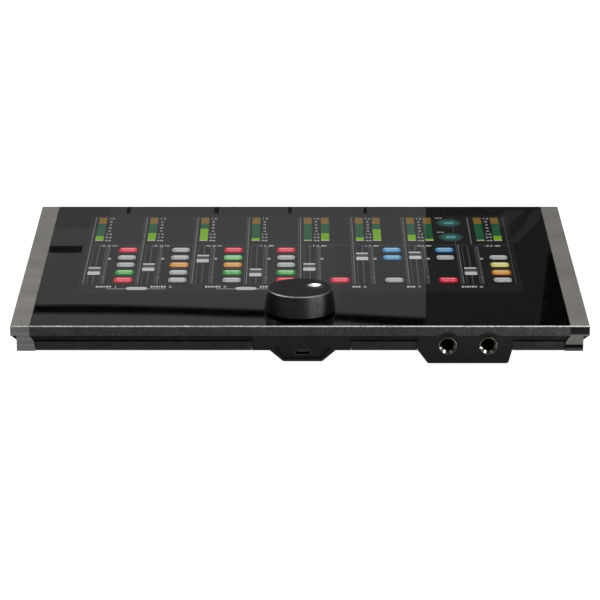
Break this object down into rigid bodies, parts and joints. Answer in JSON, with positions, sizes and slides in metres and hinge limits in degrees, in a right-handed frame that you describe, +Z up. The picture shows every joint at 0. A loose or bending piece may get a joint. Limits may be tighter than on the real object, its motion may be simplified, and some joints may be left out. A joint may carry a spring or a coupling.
{
  "type": "audio interface",
  "caption": "Desktop audio interface with a tilted glass touchscreen deck, a push-and-turn knob, metal side rails, front headphone sockets and rear input sockets.",
  "frame": {"origin": "centre of the bounding box's underside, on the desk", "axes": "+X to the user's right along the front edge, +Y away from the user, +Z up from the desk"},
  "size_m": [0.325, 0.245, 0.0538],
  "materials": {
    "cover_glass": "clear, glossy",
    "black_tape": "matt black print",
    "display_glass": "dark screen, lit in use",
    "tray_metal": "plain sheet",
    "deck_anodised": "fine bead-blasted, anodised dark",
    "knob_anodised": "fine bead-blasted, anodised dark, polished rim",
    "rail_metal": "brushed lengthwise, warm grey",
    "pan_anodised": "anodised dark",
    "insert_plastic": "fine moulded texture",
    "dish_polished": "polished",
    "knob_hub_metal": "turned",
    "gold": "gold-plated",
    "socket_plastic": "moulded",
    "combo_plastic": "moulded",
    "port_metal": "drawn shell",
    "port_plastic": "moulded",
    "plated_metal": "nickel-plated",
    "plunger_plastic": "moulded",
    "board": "solder-masked",
    "chip": "moulded",
    "sink_metal": "black anodised",
    "capacitor_can": "plain can",
    "case_paint": "fine powder coat",
    "screw_steel": "blackened",
    "standoff_brass": "turned",
    "foot_rubber": "moulded",
    "ribbon": "flat flexible cable",
    "button_plastic": "moulded"
  },
  "bodies": {
    "chassis": {"cover_glass": "cover_glass", "glass_tape": "black_tape", "lcd_panel": "display_glass", "display_tray": "tray_metal", "deck_frame": "deck_anodised", "rail_left": "rail_metal", "rail_right": "rail_metal", "base_pan": "pan_anodised", "usb_housing": "insert_plastic", "jack_housing": "insert_plastic", "headphone_bushing_1": "gold", "headphone_bushing_2": "gold", "headphone_jack_1": "socket_plastic", "headphone_jack_2": "socket_plastic", "line_jacks": "socket_plastic", "combo_jack_1": "combo_plastic", "combo_jack_2": "combo_plastic", "combo_jack_3": "combo_plastic", "combo_jack_4": "combo_plastic", "front_usb_shell": "port_metal", "host_usb_shell": "port_metal", "usb_tongues": "port_plastic", "dc_inlet": "port_plastic", "power_switch": "port_plastic", "encoder_body": "port_plastic", "encoder_bushing": "plated_metal", "encoder_washer": "plated_metal", "encoder_nut": "plated_metal", "line_jack_nuts": "plated_metal", "dc_pin": "plated_metal", "main_board": "board", "headphone_board": "board", "front_usb_board": "board", "encoder_board": "board", "processor": "chip", "memory_chips": "chip", "converter_chips": "chip", "heat_sink": "sink_metal", "capacitors": "capacitor_can", "lower_case": "case_paint", "bottom_cover": "case_paint", "rear_panel": "case_paint", "display_screws": "screw_steel", "rail_screws": "screw_steel", "pan_screws": "screw_steel", "flange_screws": "screw_steel", "bottom_screws": "screw_steel", "board_screws": "screw_steel", "rear_screws": "screw_steel", "board_standoffs": "standoff_brass", "feet": "foot_rubber", "display_ribbon": "ribbon", "encoder_ribbon": "ribbon", "headphone_ribbon": "ribbon"},
    "plunger": {"encoder_plunger": "plunger_plastic"},
    "knob": {"knob_shell": "knob_anodised", "knob_dimple": "dish_polished", "knob_hub": "knob_hub_metal", "encoder_shaft": "plated_metal"},
    "button": {"power_button": "button_plastic"}
  },
  "joints": [
    {"name": "knob_push", "type": "slide", "parent": "chassis", "child": "plunger", "axis": [0, 0.1219, -0.9925], "range_m": [0, 0.0005], "stiffness_N_per_m": 4000, "springref_m": -0.0006},
    {"name": "knob_turn", "type": "hinge", "parent": "plunger", "child": "knob", "pos_m": [0, -0.09393, 0.02751], "axis": [0, -0.1219, 0.9925], "continuous": true},
    {"name": "power_press", "type": "slide", "parent": "chassis", "child": "button", "axis": [0, -1, 0], "range_m": [0, 0.002], "stiffness_N_per_m": 800, "springref_m": -0.0015}
  ]
}
